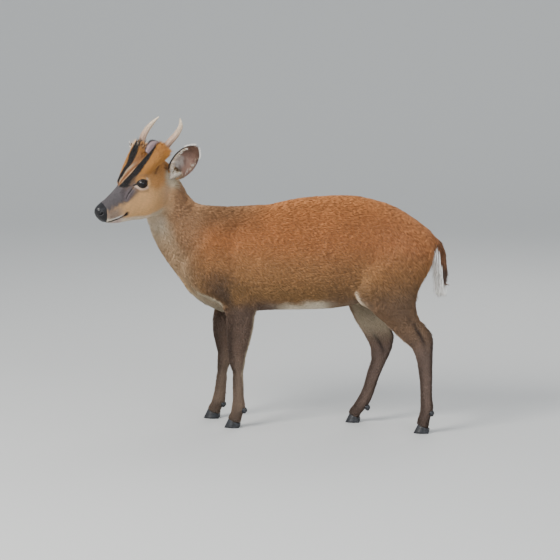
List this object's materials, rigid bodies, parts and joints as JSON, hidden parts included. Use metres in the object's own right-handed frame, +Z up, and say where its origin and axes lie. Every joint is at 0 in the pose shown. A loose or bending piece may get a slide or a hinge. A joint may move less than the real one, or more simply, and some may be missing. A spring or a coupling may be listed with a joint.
{
  "type": "muntjac model",
  "caption": "Life-size standing muntjac buck with its head turned to its left, short spike antlers on haired pedicles, and a hanging tail.",
  "frame": {"origin": "centre of the bounding box's base, on the floor under the animal", "axes": "nose towards -X, the animal's left side towards -Y, +Z up"},
  "size_m": [0.8238, 0.2758, 0.7457],
  "materials": {
    "coat": "short hair",
    "nose_skin": "moist bare skin",
    "eye_glass": "polished",
    "antler_bone": "dry bone",
    "hoof_horn": "satin horn"
  },
  "bodies": {
    "root": {"torso": "coat", "neck": "coat", "head": "coat", "tail": "coat", "ear_left": "coat", "ear_right": "coat", "foreleg_left": "coat", "foreleg_right": "coat", "hindleg_left": "coat", "hindleg_right": "coat", "nose_pad": "nose_skin", "eye_left": "eye_glass", "eye_right": "eye_glass", "antler_left": "antler_bone", "antler_right": "antler_bone", "hoof_fore_left_inner": "hoof_horn", "dewclaw_fore_left_inner": "hoof_horn", "hoof_fore_left_outer": "hoof_horn", "dewclaw_fore_left_outer": "hoof_horn", "hoof_fore_right_inner": "hoof_horn", "dewclaw_fore_right_inner": "hoof_horn", "hoof_fore_right_outer": "hoof_horn", "dewclaw_fore_right_outer": "hoof_horn", "hoof_hind_left_inner": "hoof_horn", "dewclaw_hind_left_inner": "hoof_horn", "hoof_hind_left_outer": "hoof_horn", "dewclaw_hind_left_outer": "hoof_horn", "hoof_hind_right_inner": "hoof_horn", "dewclaw_hind_right_inner": "hoof_horn", "hoof_hind_right_outer": "hoof_horn", "dewclaw_hind_right_outer": "hoof_horn"}
  },
  "joints": []
}
